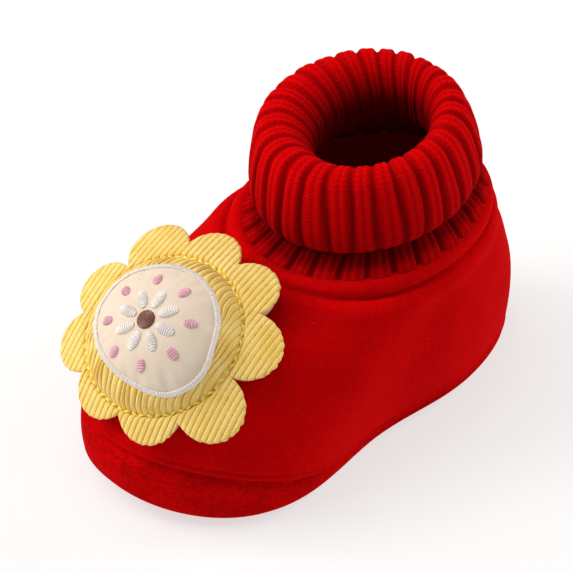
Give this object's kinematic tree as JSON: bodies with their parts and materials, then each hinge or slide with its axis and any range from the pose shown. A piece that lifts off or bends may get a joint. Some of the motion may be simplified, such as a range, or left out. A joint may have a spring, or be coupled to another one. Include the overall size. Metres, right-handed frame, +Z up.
{
  "type": "baby bootie",
  "caption": "Soft red velour baby bootie with a turned-down rib-knit ankle cuff and a stuffed yellow corduroy flower sewn on its round toe",
  "frame": {"origin": "On the floor, under the middle of the bootie's bounding box", "axes": "-Y to the toe, +Y to the heel, +X to the wearer's left, +Z up"},
  "size_m": [0.0608, 0.1166, 0.0727],
  "materials": {
    "velour": "matte",
    "sole_velour": "matte",
    "lining": "matte",
    "rib_knit": "matte",
    "felt": "matte",
    "corduroy": "matte",
    "cream_cotton": "matte",
    "thread": "satin"
  },
  "bodies": {
    "root": {"sole": "sole_velour", "insole": "lining", "upper": "velour", "rib_cuff": "rib_knit", "flower_backing": "felt", "flower_pad": "corduroy"}
  },
  "joints": []
}
